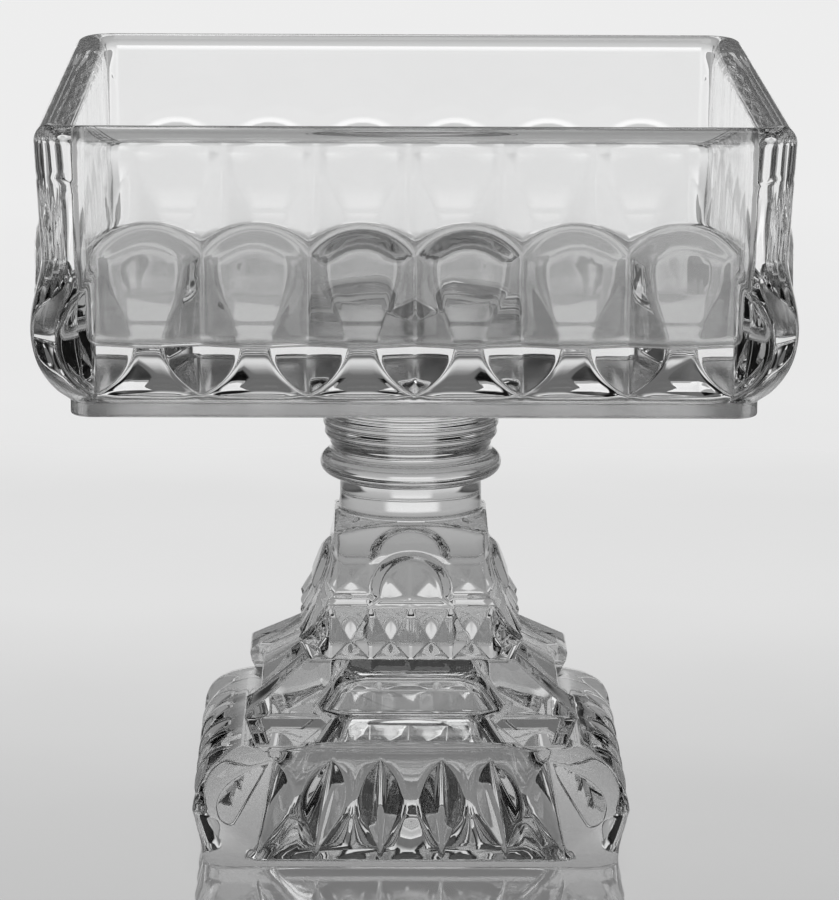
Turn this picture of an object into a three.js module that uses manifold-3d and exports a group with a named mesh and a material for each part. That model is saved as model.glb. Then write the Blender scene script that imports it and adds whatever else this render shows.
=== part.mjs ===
// Pressed-glass wedding bowl: a square bowl welded by a ringed collar to a square pedestal foot.
// Millimetres, +Z up. The origin is the middle of the foot's underside.
import * as THREE from 'three';
import { ConvexGeometry } from 'three/addons/geometries/ConvexGeometry.js';
import { mergeVertices } from 'three/addons/utils/BufferGeometryUtils.js';
import Module from 'manifold-3d';

const wasm = await Module();
wasm.setup();

// Every piece is square in plan, so what shows on one side repeats on four
const SIDES = 4;
const QUARTER_TURN = Math.PI / 2;
const CORNER_STEPS = 3;
const CURVE_STEPS = 5;
// How far a cutting shape runs past what it cuts
const OVERRUN = 1;

// Foot, from the table up: a plain band, an undercut facet, a round shoulder and a narrow shelf
const FOOT_WIDTH = 93.2;
const FOOT_BAND_RISE = 3.5;
const FOOT_BAND_FLARE = 0.3;
const FOOT_SWELL_RISE = 8.4;
const FOOT_SWELL = 2;
const FOOT_SHOULDER_RISE = 11.5;
const FOOT_SHOULDER_DRAW = 10.6;
const FOOT_CORNER = 6;
// V grooves of the foot on each half of a side: two plain ones, and a wide one beside the corner
const GROOVE_PLACE = 6.5;
const FANNED_GROOVE_TOP = 16.8;
const FANNED_GROOVE_BOTTOM = 20.2;
const CORNER_GROOVE_TOP = 29.1;
const CORNER_GROOVE_BOTTOM = 32.4;
const FOOT_GROOVE_SPREAD = 0.93;
const CORNER_GROOVE_OUTER_SPREAD = 2.1;
const FOOT_GROOVE_TOP_DROP = 1;

// Plinth: an undercut bevel below a hipped slope
const PLINTH_WIDTH = 71.4;
const PLINTH_UNDERCUT_RISE = 7.6;
const PLINTH_OVERHANG = 2.4;
const PLINTH_SLOPE_RISE = 8.9;
const PLINTH_SLOPE_RUN = 13.25;
const PLINTH_CORNER = 0.8;
// The middle of each side lies back between raised corner blocks
const PANEL_SETBACK = 3;
const PANEL_TOP_HALF = 12.9;
const PANEL_HIP_HALF = 20.7;
const PANEL_NOTCH_HALF = 17.5;
const PANEL_BASE_HALF = 23.9;
const PANEL_HIP_RISE = 1.3;
const PANEL_NOTCH_DROP = 1.7;

// Small ribbed cushion on the plinth, and the ledge above it
const CUSHION_WIDTH = 48.6;
const CUSHION_LOW_RISE = 4.7;
const CUSHION_HIGH_RISE = 6.7;
const CUSHION_DRAW = 3.6;
const CUSHION_CORNER = 2;
const CUSHION_GROOVE_PITCH = 8.65;
const CUSHION_GROOVE_SPREAD = 1.7;
const CUSHION_GROOVE_TOP_DROP = 0.3;
const CUSHION_GROOVE_BASE_LIFT = 0.3;
const LEDGE_BAND_RISE = 1.6;
const LEDGE = 0.5;

// Shaft: a hollow-sided square flare up to the collar
const SHAFT_WIDTH = 33;
const SHAFT_RISE = 16.1;
const SHAFT_CORNER = 3;
const SHAFT_BEND_RISE_SHARE = 0.32;
const SHAFT_BEND_DRAW_SHARE = 0.89;
// How far the shaft's corners slope down from the weld, per unit outwards
const SHOULDER_SLOPE = 0.36;

// Arched tongue with a bevelled border on each face of the shaft
const TONGUE_STRAIGHT_RISE = 1.3;
const TONGUE_TOP_WIDTH = 17;
const TONGUE_BASE_WIDTH = 20.2;
const TONGUE_DEPTH = 5;
const TONGUE_BORDER = 2;
const TONGUE_BEVEL = 1.6;
const TONGUE_TOP_STAND = 1.3;
const TONGUE_FOOT_STAND = 1.6;

// Plunger hollow under the foot
const FOOT_WALL = 9.3;
const PLINTH_WALL = 6.95;
const HOLLOW_RISE = 31;
const HOLLOW_CORNER = 5;
const HOLLOW_ROUND = 4;

// Collar: neck, bead, cove and bell, all round
const NECK_RADIUS = 15.4;
const NECK_FILLET = 0.6;
const NECK_RISE = 7.6;
const BEAD_RADIUS = 2.5;
const COVE_RADIUS = 17.2;
const COVE_RISE = 1.3;
const BELL_RADIUS = 19.1;
const BELL_SHOULDER_RISE = 4.9;
const BELL_RISE = 8;
const BELL_FLARE = 4;
const BELL_FLARE_RISE = 7.1;
const COLLAR_FACETS = 40;

// Bowl, from its base plate up: plate, tuck, roll, waist, panel and rim
const WAIST_WIDTH = 150.8;
const PLATE_RISE = 3.3;
const PLATE_INSET = 2.9;
const TUCK_RISE = 1.7;
const ROLL_LOW_RISE = 13.5;
const ROLL_DRAW = 5.1;
const ROLL_HIGH_RISE = 14.7;
const ROLL_SWELL = 2.45;
const PANEL_RISE = 23.3;
const RIM_FLARE = 1.2;
const RIM_THICKNESS = 7.6;
const RIM_ROUND = THREE.MathUtils.degToRad(75);
const BOWL_CORNER = 8;
const CAVITY_CORNER = 2.5;
const CAVITY_FILLET = 3;
const CAVITY_DRAFT = 1.2;
const FLOOR_THICKNESS = 14.8;
// The roll is split into pillars with domed arched heads, six a side, by V grooves; the land at each corner
const PILLARS = 6;
const CORNER_LAND = 11.2;
const PILLAR_GROOVE_SPREAD = 2.05;
const PILLAR_GROOVE_TOP_DROP = 2.9;
const PILLAR_GROOVE_BASE_LIFT = 0.3;
const ARCH_RISE = 7.4;
const ARCH_SAGITTA = 6.2;
const ARCH_STEPS = 8;
const HEAD_STAND = 1.55;
const HEAD_BORDER = 3;
const HEAD_DEPTH = 1.7;
const HEAD_STEPS = 3;

// Glass: clear, with a faint grey cast
const GLASS_COLOUR = 0xdde3e3;
const GLASS_ROUGHNESS = 0.04;

/** One level of a square body: its height, half its width and its corner radius. */
function level(z, half, corner) {
  return { z, half, corner };
}

/** Levels along a curve whose x is the half width and whose y is the height. */
function curveLevels(curve, corner, steps = CURVE_STEPS) {
  return curve.getPoints(steps).map((point) => level(point.y, point.x, corner));
}

/** The points of a rounded square, anticlockwise from +X. */
function squareRing({ z, half, corner }) {
  const ring = [];
  const reach = half - corner;
  for (let side = 0; side < SIDES; side += 1) {
    const middle = (side + 1 / 2) * QUARTER_TURN;
    for (let step = 0; step <= CORNER_STEPS; step += 1) {
      const angle = (side + step / CORNER_STEPS) * QUARTER_TURN;
      const x = Math.sign(Math.cos(middle)) * reach + Math.cos(angle) * corner;
      const y = Math.sign(Math.sin(middle)) * reach + Math.sin(angle) * corner;
      ring.push(x, y, z);
    }
  }
  return ring;
}

/** A closed body skinned through rounded squares, listed from the bottom up. */
function squareLoft(levels) {
  const count = SIDES * (CORNER_STEPS + 1);
  const positions = levels.flatMap(squareRing);
  const lowCentre = levels.length * count;
  const highCentre = lowCentre + 1;
  const top = lowCentre - count;
  positions.push(0, 0, levels[0].z);
  positions.push(0, 0, levels[levels.length - 1].z);
  const faces = [];
  for (let at = 0; at < count; at += 1) {
    const next = (at + 1) % count;
    for (let row = 0; row < top; row += count) {
      faces.push(row + at, row + next, row + count + next);
      faces.push(row + at, row + count + next, row + count + at);
    }
    faces.push(lowCentre, next, at);
    faces.push(highCentre, top + at, top + next);
  }
  const geometry = new THREE.BufferGeometry();
  geometry.setAttribute('position', new THREE.Float32BufferAttribute(positions, 3));
  geometry.setIndex(faces);
  return solidOf(geometry);
}

/** A geometry as a solid that can be joined and cut. */
function solidOf(geometry) {
  const bare = new THREE.BufferGeometry();
  bare.setAttribute('position', geometry.getAttribute('position'));
  bare.setIndex(geometry.getIndex());
  const merged = mergeVertices(bare);
  return new wasm.Manifold(new wasm.Mesh({
    numProp: 3,
    vertProperties: new Float32Array(merged.getAttribute('position').array),
    triVerts: new Uint32Array(merged.getIndex().array),
  }));
}

/** A solid as a named mesh of glass. */
function glassMesh(name, solid) {
  const { vertProperties, triVerts } = solid.getMesh();
  const geometry = new THREE.BufferGeometry();
  geometry.setAttribute('position', new THREE.BufferAttribute(vertProperties, 3));
  geometry.setIndex(new THREE.BufferAttribute(triVerts, 1));
  const material = new THREE.MeshStandardMaterial({
    color: GLASS_COLOUR,
    roughness: GLASS_ROUGHNESS,
    metalness: 0,
  });
  const mesh = new THREE.Mesh(geometry, material);
  mesh.name = name;
  return mesh;
}

/** The same geometry on each of the four sides. It is made on the side that faces -Y. */
function onEverySide(geometry) {
  const copies = [];
  for (let side = 0; side < SIDES; side += 1) {
    copies.push(solidOf(geometry.clone().rotateZ(side * QUARTER_TURN)));
  }
  return copies;
}

/**
 * A V cut on the side that faces -Y. Its bottom line runs between two points, each with a place u
 * along the side, a half width and a height. Each wall runs its spread sideways per unit of depth.
 */
function vCut(low, high, reach, leftSpread, rightSpread) {
  const line = new THREE.Vector3(high.u - low.u, low.half - high.half, high.z - low.z);
  const extra = line.clone().setLength(OVERRUN);
  const corners = [];
  for (const [end, shift] of [[low, extra.clone().negate()], [high, extra]]) {
    const bottom = new THREE.Vector3(end.u, -end.half, end.z).add(shift);
    corners.push(bottom);
    corners.push(bottom.clone().add(new THREE.Vector3(-leftSpread * reach, -reach, 0)));
    corners.push(bottom.clone().add(new THREE.Vector3(rightSpread * reach, -reach, 0)));
  }
  return new ConvexGeometry(corners);
}

/** A plate cut to an outline of places along the side and heights, from one depth outwards. */
function sidePlate(outline, inner, thickness, bevel = {}) {
  const settings = { depth: thickness, bevelEnabled: false, curveSegments: ARCH_STEPS, ...bevel };
  return new THREE.ExtrudeGeometry(outline, settings).translate(0, 0, inner).rotateX(QUARTER_TURN);
}

// Seam heights and half widths of the pedestal
const bandTop = FOOT_BAND_RISE;
const footCrest = bandTop + FOOT_SWELL_RISE;
const footCrestHalf = FOOT_WIDTH / 2;
const bandHalf = footCrestHalf - FOOT_SWELL;
const baseHalf = bandHalf - FOOT_BAND_FLARE;
const footTop = footCrest + FOOT_SHOULDER_RISE;
const shelfHalf = footCrestHalf - FOOT_SHOULDER_DRAW;
const plinthEdge = footTop + PLINTH_UNDERCUT_RISE;
const plinthEdgeHalf = PLINTH_WIDTH / 2;
const plinthBaseHalf = plinthEdgeHalf - PLINTH_OVERHANG;
const plinthTop = plinthEdge + PLINTH_SLOPE_RISE;
const plinthTopHalf = plinthEdgeHalf - PLINTH_SLOPE_RUN;
const cushionCrest = plinthTop + CUSHION_LOW_RISE;
const cushionCrestHalf = CUSHION_WIDTH / 2;
const ledge = cushionCrest + CUSHION_HIGH_RISE;
const ledgeHalf = cushionCrestHalf - CUSHION_DRAW;
const shaftBase = ledge + LEDGE_BAND_RISE;
const shaftBaseHalf = ledgeHalf - LEDGE;
const shaftTop = shaftBase + SHAFT_RISE;
const shaftTopHalf = SHAFT_WIDTH / 2;

/** The foot's shoulder, from the widest line in to the shelf. */
const footShoulder = new THREE.QuadraticBezierCurve(
  new THREE.Vector2(footCrestHalf, footCrest),
  new THREE.Vector2(footCrestHalf, footTop - FOOT_SHOULDER_RISE / 4),
  new THREE.Vector2(shelfHalf, footTop),
);

/** The shaft's hollow flare, from the ledge band up to the weld. */
const shaftFlare = new THREE.QuadraticBezierCurve(
  new THREE.Vector2(shaftBaseHalf, shaftBase),
  new THREE.Vector2(
    THREE.MathUtils.lerp(shaftBaseHalf, shaftTopHalf, SHAFT_BEND_DRAW_SHARE),
    shaftBase + SHAFT_RISE * SHAFT_BEND_RISE_SHARE,
  ),
  new THREE.Vector2(shaftTopHalf, shaftTop),
);

/** Half the width that a curve of half widths and heights has at a height. */
function halfAt(curve, z) {
  const points = curve.getPoints(CURVE_STEPS * CURVE_STEPS);
  const above = Math.max(1, points.findIndex((point) => point.y >= z));
  const share = (z - points[above - 1].y) / (points[above].y - points[above - 1].y);
  return THREE.MathUtils.lerp(points[above - 1].x, points[above].x, share);
}

/** The plinth drawn in by a setback, as levels. */
function plinthLevels(setback) {
  return [
    level(footTop, plinthBaseHalf - setback, PLINTH_CORNER),
    level(plinthEdge, plinthEdgeHalf - setback, PLINTH_CORNER),
    level(plinthTop, plinthTopHalf - setback, PLINTH_CORNER),
  ];
}

/** The pedestal's outside before anything is cut from it. */
function pedestalBlank() {
  return squareLoft([
    level(0, baseHalf, FOOT_CORNER),
    level(bandTop, bandHalf, FOOT_CORNER),
    ...curveLevels(footShoulder, FOOT_CORNER),
    ...plinthLevels(0),
    level(cushionCrest, cushionCrestHalf, CUSHION_CORNER),
    level(ledge, ledgeHalf, CUSHION_CORNER),
    ...curveLevels(shaftFlare, SHAFT_CORNER),
  ]);
}

/** The V cuts of the foot: plain ones that fan out downwards, and a wide one beside each corner. */
function footGrooves() {
  const top = footTop - FOOT_GROOVE_TOP_DROP;
  const topHalf = halfAt(footShoulder, top);
  const reach = FOOT_SWELL + FOOT_SHOULDER_DRAW;
  const places = [
    [GROOVE_PLACE, GROOVE_PLACE, FOOT_GROOVE_SPREAD],
    [FANNED_GROOVE_BOTTOM, FANNED_GROOVE_TOP, FOOT_GROOVE_SPREAD],
    [CORNER_GROOVE_BOTTOM, CORNER_GROOVE_TOP, CORNER_GROOVE_OUTER_SPREAD],
  ];
  const cuts = [];
  for (const [bottomPlace, topPlace, outerSpread] of places) {
    for (const hand of [-1, 1]) {
      const low = { u: hand * bottomPlace, half: bandHalf, z: bandTop };
      const high = { u: hand * topPlace, half: topHalf, z: top };
      const spreads = [FOOT_GROOVE_SPREAD, outerSpread];
      if (hand < 0) spreads.reverse();
      cuts.push(...onEverySide(vCut(low, high, reach, ...spreads)));
    }
  }
  return cuts;
}

/** What is cut from the plinth so that the middle of each side lies back. */
function plinthPanels() {
  const outline = new THREE.Shape([
    new THREE.Vector2(PANEL_TOP_HALF, plinthTop),
    new THREE.Vector2(-PANEL_TOP_HALF, plinthTop),
    new THREE.Vector2(-PANEL_HIP_HALF, plinthEdge + PANEL_HIP_RISE),
    new THREE.Vector2(-PANEL_NOTCH_HALF, plinthEdge - PANEL_NOTCH_DROP),
    new THREE.Vector2(-PANEL_BASE_HALF, footTop),
    new THREE.Vector2(PANEL_BASE_HALF, footTop),
    new THREE.Vector2(PANEL_NOTCH_HALF, plinthEdge - PANEL_NOTCH_DROP),
    new THREE.Vector2(PANEL_HIP_HALF, plinthEdge + PANEL_HIP_RISE),
  ]);
  const inner = plinthTopHalf - PANEL_SETBACK;
  const plate = sidePlate(outline, inner, plinthEdgeHalf + OVERRUN - inner);
  const core = squareLoft(plinthLevels(PANEL_SETBACK));
  return onEverySide(plate).map((cut) => cut.subtract(core));
}

/** The V cuts of the small cushion, evenly spaced from the middle of each side. */
function cushionGrooves() {
  const spread = CUSHION_GROOVE_SPREAD;
  const cuts = [];
  for (const place of [-2, -1, 0, 1, 2]) {
    const u = place * CUSHION_GROOVE_PITCH;
    const low = { u, half: plinthTopHalf, z: plinthTop + CUSHION_GROOVE_BASE_LIFT };
    const high = { u, half: ledgeHalf, z: ledge - CUSHION_GROOVE_TOP_DROP };
    cuts.push(...onEverySide(vCut(low, high, CUSHION_DRAW, spread, spread)));
  }
  return cuts;
}

/** The arched tongues: plates with a bevelled border that stand on the ledge and lean on the shaft. */
function tongues() {
  const outline = new THREE.Shape();
  const crown = TONGUE_TOP_WIDTH / 2 - TONGUE_BORDER;
  const rise = TONGUE_STRAIGHT_RISE + TONGUE_TOP_WIDTH / 2;
  outline.moveTo(-TONGUE_BASE_WIDTH / 2 + TONGUE_BORDER, TONGUE_BORDER - LEDGE_BAND_RISE);
  outline.lineTo(TONGUE_BASE_WIDTH / 2 - TONGUE_BORDER, TONGUE_BORDER - LEDGE_BAND_RISE);
  outline.lineTo(crown, TONGUE_STRAIGHT_RISE);
  outline.absarc(0, TONGUE_STRAIGHT_RISE, crown, 0, Math.PI, false);
  const bevel = {
    bevelEnabled: true,
    bevelSize: TONGUE_BORDER,
    bevelThickness: TONGUE_BEVEL,
    bevelSegments: 1,
  };
  const plate = sidePlate(outline, -TONGUE_DEPTH, TONGUE_DEPTH - TONGUE_BEVEL, bevel);
  const topHalf = halfAt(shaftFlare, shaftBase + rise) + TONGUE_TOP_STAND;
  const footHalf = shaftBaseHalf + TONGUE_FOOT_STAND;
  plate.rotateX(-Math.atan2(footHalf - topHalf, rise));
  plate.translate(0, -footHalf, shaftBase);
  return onEverySide(plate);
}

/** The ring cut from the shaft's top, so that its corners slope down outside the weld. */
function weldShoulder() {
  const inner = NECK_RADIUS + NECK_FILLET;
  const outer = SHAFT_WIDTH;
  const outline = new THREE.Path();
  outline.moveTo(inner, shaftTop);
  outline.lineTo(outer, shaftTop - SHOULDER_SLOPE * (outer - inner));
  outline.lineTo(outer, shaftTop + OVERRUN);
  outline.lineTo(inner, shaftTop + OVERRUN);
  outline.lineTo(inner, shaftTop);
  const ring = new THREE.LatheGeometry(outline.getPoints(1), COLLAR_FACETS);
  return solidOf(ring.rotateX(QUARTER_TURN));
}

/** The plunger hollow, open at the table and rounded over at its top. */
function plungerHollow() {
  const mouthHalf = baseHalf - FOOT_WALL;
  const topHalf = plinthTopHalf - PLINTH_WALL;
  const taper = (mouthHalf - topHalf) / HOLLOW_RISE;
  return squareLoft([
    level(-OVERRUN, mouthHalf + taper * OVERRUN, HOLLOW_CORNER),
    level(HOLLOW_RISE - HOLLOW_ROUND, topHalf + taper * HOLLOW_ROUND, HOLLOW_CORNER),
    level(HOLLOW_RISE - HOLLOW_ROUND / 4, topHalf, HOLLOW_CORNER),
    level(HOLLOW_RISE, topHalf - HOLLOW_ROUND, HOLLOW_CORNER),
  ]);
}

/** The whole pressed pedestal. */
function pedestalFoot() {
  const grooves = [...footGrooves(), ...cushionGrooves()];
  const cuts = [...grooves, ...plinthPanels(), weldShoulder(), plungerHollow()];
  const blank = tongues().reduce((body, tongue) => body.add(tongue), pedestalBlank());
  return cuts.reduce((body, cut) => body.subtract(cut), blank);
}

// Seam heights and radii of the collar
const beadMiddle = shaftTop + NECK_RISE + BEAD_RADIUS;
const cove = beadMiddle + BEAD_RADIUS + COVE_RISE;
const bellShoulder = cove + BELL_SHOULDER_RISE;
const bellTop = bellShoulder + BELL_RISE;
const collarTop = bellTop + BELL_FLARE_RISE;

/** The round collar, turned from one outline. */
function stemCollar() {
  const outline = new THREE.Path();
  outline.moveTo(0, shaftTop);
  outline.lineTo(NECK_RADIUS + NECK_FILLET, shaftTop);
  outline.lineTo(NECK_RADIUS, shaftTop + NECK_RISE / 2);
  outline.lineTo(NECK_RADIUS, beadMiddle - BEAD_RADIUS);
  outline.absarc(COVE_RADIUS, beadMiddle, BEAD_RADIUS, -QUARTER_TURN, QUARTER_TURN, false);
  outline.lineTo(COVE_RADIUS, cove);
  outline.quadraticCurveTo(BELL_RADIUS, (cove + bellShoulder) / 2, BELL_RADIUS, bellShoulder);
  outline.lineTo(BELL_RADIUS, bellTop);
  outline.quadraticCurveTo(BELL_RADIUS, collarTop, BELL_RADIUS + BELL_FLARE, collarTop);
  outline.lineTo(0, collarTop);
  const turned = new THREE.LatheGeometry(outline.getPoints(CURVE_STEPS), COLLAR_FACETS);
  return solidOf(turned.rotateX(QUARTER_TURN));
}

// Seam heights and half widths of the bowl
const waistHalf = WAIST_WIDTH / 2;
const plateTop = collarTop + PLATE_RISE;
const tuck = plateTop + TUCK_RISE;
const rollCrest = tuck + ROLL_LOW_RISE;
const rollCrestHalf = waistHalf + ROLL_SWELL;
const tuckHalf = rollCrestHalf - ROLL_DRAW;
const waist = rollCrest + ROLL_HIGH_RISE;
const rimMiddle = waist + PANEL_RISE;
const rimHalf = waistHalf + RIM_FLARE;
const rimRadius = RIM_THICKNESS / 2;
const cavityHalf = rimHalf - RIM_THICKNESS;
const crestCorner = (BOWL_CORNER + CAVITY_CORNER) / 2;
const pillarPitch = 2 * (waistHalf - CORNER_LAND) / PILLARS;

/** Half the width of the roll at a share of its height, from the tuck up to the waist. */
function rollHalf(z) {
  if (z < rollCrest) {
    const radius = (ROLL_DRAW ** 2 + ROLL_LOW_RISE ** 2) / 2 / ROLL_DRAW;
    return rollCrestHalf - radius + Math.sqrt(radius ** 2 - (rollCrest - z) ** 2);
  }
  const swing = Math.cos(Math.PI * (z - rollCrest) / ROLL_HIGH_RISE);
  return waistHalf + ROLL_SWELL * (1 + swing) / 2;
}

/** Levels of the roll from the tuck to the waist. */
function rollLevels() {
  const steps = 2 * CURVE_STEPS;
  const levels = [];
  for (let step = 0; step <= steps; step += 1) {
    const z = THREE.MathUtils.lerp(tuck, waist, step / steps);
    levels.push(level(z, rollHalf(z), BOWL_CORNER));
  }
  return levels;
}

/** Levels round one side of the rim's full round, from the wall up to its crest. */
function rimLevels(hand, wallCorner) {
  const middle = rimHalf - rimRadius;
  const levels = [];
  for (let step = 0; step <= CURVE_STEPS; step += 1) {
    const angle = RIM_ROUND * step / CURVE_STEPS;
    const half = middle + hand * rimRadius * Math.cos(angle);
    const corner = THREE.MathUtils.lerp(crestCorner, wallCorner, Math.cos(angle));
    levels.push(level(rimMiddle + rimRadius * Math.sin(angle), half, corner));
  }
  return levels;
}

/** The bowl's outside, a plain roll and panel. */
function bowlBlank() {
  const plateHalf = tuckHalf - PLATE_INSET;
  return squareLoft([
    level(collarTop, plateHalf, BOWL_CORNER / 2),
    level(plateTop, plateHalf, BOWL_CORNER / 2),
    ...rollLevels(),
    ...rimLevels(1, BOWL_CORNER),
  ]);
}

/** The bowl's inside, from its floor fillet up through the rim's inner round. */
function bowlCavity() {
  const floor = collarTop + FLOOR_THICKNESS;
  const floorHalf = cavityHalf - CAVITY_DRAFT;
  const crest = rimLevels(-1, CAVITY_CORNER);
  const last = crest[crest.length - 1];
  return squareLoft([
    level(floor, floorHalf - CAVITY_FILLET, CAVITY_CORNER),
    level(floor + CAVITY_FILLET / 4, floorHalf - CAVITY_FILLET / 3, CAVITY_CORNER),
    level(floor + CAVITY_FILLET, floorHalf, CAVITY_CORNER),
    ...crest,
    level(last.z + OVERRUN, last.half, last.corner),
  ]);
}

/** The domed plates that give each pillar an arched head standing out from the panel. */
function pillarHeads() {
  const reach = pillarPitch / 2;
  const radius = (reach ** 2 + ARCH_SAGITTA ** 2) / 2 / ARCH_SAGITTA;
  const spring = waist + ARCH_RISE - radius;
  const crown = radius - HEAD_BORDER;
  const swing = Math.asin((reach - HEAD_BORDER) / crown);
  const bevel = {
    bevelEnabled: true,
    bevelSize: HEAD_BORDER,
    bevelThickness: HEAD_DEPTH,
    bevelSegments: HEAD_STEPS,
  };
  const front = waistHalf + HEAD_STAND;
  const plates = [];
  for (let pillar = 0; pillar < PILLARS; pillar += 1) {
    const middle = (pillar - (PILLARS - 1) / 2) * pillarPitch;
    const outline = new THREE.Shape();
    outline.moveTo(middle - reach + HEAD_BORDER, rollCrest + HEAD_BORDER);
    outline.lineTo(middle + reach - HEAD_BORDER, rollCrest + HEAD_BORDER);
    outline.absarc(middle, spring, crown, QUARTER_TURN - swing, QUARTER_TURN + swing, false);
    plates.push(...onEverySide(sidePlate(outline, front - HEAD_DEPTH - OVERRUN, OVERRUN, bevel)));
  }
  return plates;
}

/** The V cuts between the pillars, and one beyond each end of the row. */
function pillarGrooves() {
  const top = waist - PILLAR_GROOVE_TOP_DROP;
  const base = tuck + PILLAR_GROOVE_BASE_LIFT;
  const cuts = [];
  for (let groove = 0; groove <= PILLARS; groove += 1) {
    const u = (groove - PILLARS / 2) * pillarPitch;
    const low = { u, half: rollHalf(base), z: base };
    const high = { u, half: rollHalf(top), z: top };
    const spread = PILLAR_GROOVE_SPREAD;
    cuts.push(...onEverySide(vCut(low, high, ROLL_DRAW, spread, spread)));
  }
  return cuts;
}

/** The whole pressed bowl. */
function bowl() {
  const cuts = [bowlCavity(), ...pillarGrooves()];
  const blank = pillarHeads().reduce((body, head) => body.add(head), bowlBlank());
  return cuts.reduce((body, cut) => body.subtract(cut), blank);
}

const group = new THREE.Group();
group.add(glassMesh('pedestal_foot', pedestalFoot()));
group.add(glassMesh('stem_collar', stemCollar()));
group.add(glassMesh('bowl', bowl()));

export default group;
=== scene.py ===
"""Looks of a pressed-glass wedding bowl: a square bowl, its ringed collar and its ribbed pedestal foot.

Every piece is clear glass, so its outside, its inside and its welds are real surfaces. The pieces' sizes
are in millimetres and scaled to metres once, when a mesh is made. The studio's sizes are in metres.
"""

import logging
import math
from abc import ABC, abstractmethod
from dataclasses import dataclass
from enum import Enum
from functools import reduce
from typing import Callable, ClassVar, NamedTuple

import bpy
import numpy as np
from mathutils import Euler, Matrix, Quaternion, Vector


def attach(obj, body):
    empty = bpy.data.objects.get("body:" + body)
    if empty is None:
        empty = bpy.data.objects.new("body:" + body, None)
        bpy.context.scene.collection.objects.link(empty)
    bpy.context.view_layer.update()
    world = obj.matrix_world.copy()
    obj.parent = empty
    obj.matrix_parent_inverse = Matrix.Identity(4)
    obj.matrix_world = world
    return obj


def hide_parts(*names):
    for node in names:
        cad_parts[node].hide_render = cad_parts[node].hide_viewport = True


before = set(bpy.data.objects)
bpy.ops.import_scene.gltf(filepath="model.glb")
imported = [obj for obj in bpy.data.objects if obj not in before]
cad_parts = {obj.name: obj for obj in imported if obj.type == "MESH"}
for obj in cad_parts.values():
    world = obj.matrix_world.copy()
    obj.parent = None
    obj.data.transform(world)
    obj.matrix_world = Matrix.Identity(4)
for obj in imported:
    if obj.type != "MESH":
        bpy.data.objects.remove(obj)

log = logging.getLogger("wedding_bowl")

MM = 0.001
SIDES = 4
QUARTER_TURN = math.pi / 2
SEARCH_STEPS = 36

Array = np.ndarray
Pair = tuple[float, float]
Stops = tuple[Pair, ...]
Surface = Callable[[Array, Array, Array], Array]


class Slot(Enum):
    """The record's material slots."""

    BOWL = "bowl_glass"
    COLLAR = "collar_glass"
    FOOT = "foot_glass"


class Rise(Enum):
    """How a level goes from its start to its end."""

    EVEN = "LINEAR"
    SOFT = "SMOOTHSTEP"


def operator(operation: str, swapped: bool = False) -> Callable:
    """An operator of Socket that adds a Math node.

    Args:
        operation: The node's operation.
        swapped: Whether the socket is the second value, as in a reflected operator.

    Returns:
        The operator.
    """

    def apply(self: "Socket", other: "Socket | float" = 0.0) -> "Socket":
        """Adds the node."""
        values = {0: other, 1: self} if swapped else {0: self, 1: other}
        return Nodes(self.tree).add("Math", {"operation": operation}, values)

    return apply


@dataclass
class Socket:
    """A node's output with arithmetic. Its size is its value without a sign."""

    tree: bpy.types.NodeTree
    out: bpy.types.NodeSocket

    __add__ = __radd__ = operator("ADD")
    __sub__, __rsub__ = operator("SUBTRACT"), operator("SUBTRACT", swapped=True)
    __mul__ = __rmul__ = operator("MULTIPLY")
    __truediv__, __rtruediv__ = operator("DIVIDE"), operator("DIVIDE", swapped=True)
    size = operator("ABSOLUTE")
    larger = operator("MAXIMUM")


@dataclass
class Nodes:
    """Adds nodes to one tree."""

    tree: bpy.types.NodeTree

    def add(
        self, kind: str, settings: dict | None = None, values: dict | None = None, out: int | str = 0
    ) -> Socket | None:
        """Adds a node.

        Args:
            kind: The node's type, without ShaderNode in front.
            settings: Its own settings, set first. A ramp's stops are given as "stops".
            values: Values or links of its input sockets, by name or number.
            out: The output that is returned, by name or number.

        Returns:
            That output, or None for a node without any.
        """
        node = self.tree.nodes.new("ShaderNode" + kind)
        for name, value in (settings or {}).items():
            if name == "stops":
                self._set_stops(node.color_ramp.elements, value)
            else:
                setattr(node, name, value)
        for key, value in (values or {}).items():
            if isinstance(value, Socket):
                self.tree.links.new(value.out, node.inputs[key])
            else:
                node.inputs[key].default_value = value
        return Socket(self.tree, node.outputs[out]) if len(node.outputs) else None

    @staticmethod
    def _set_stops(elements: bpy.types.ColorRampElements, stops: Stops) -> None:
        """Sets a ramp's stops.

        Args:
            elements: The ramp's elements.
            stops: Each a place and a grey level.
        """
        while len(elements) < len(stops):
            elements.new(1.0)
        for element, (place, grey) in zip(elements, stops):
            element.position = place
            element.color = (grey, grey, grey, 1.0)

    def ramp(self, place: Socket, stops: Stops) -> Socket:
        """A grey level read from stops at a place."""
        return self.add("ValToRGB", {"stops": stops}, {0: place})

    def axis(self, place: Socket, name: str) -> Socket:
        """One axis of a vector."""
        return self.add("SeparateXYZ", {}, {0: place}, name)

    def fade(self, value: Socket, span: tuple, levels: tuple = (0.0, 1.0), rise: Rise = Rise.SOFT) -> Socket:
        """Goes from one level to another while a value crosses a span."""
        values = {"Value": value, 1: span[0], 2: span[1], 3: levels[0], 4: levels[1]}
        return self.add("MapRange", {"interpolation_type": rise.value}, values)

    def noise(self, place: Socket, scale: float, detail: float) -> Socket:
        """Noise from 0 to 1."""
        return self.add("TexNoise", {}, {"Vector": place, "Scale": scale, "Detail": detail})


def new_nodes(owner: bpy.types.Material | bpy.types.World) -> Nodes:
    """Empties the node tree of a material or a world.

    Args:
        owner: The material or the world.

    Returns:
        Its nodes.
    """
    owner.use_nodes = True
    owner.node_tree.nodes.clear()
    return Nodes(owner.node_tree)


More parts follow.
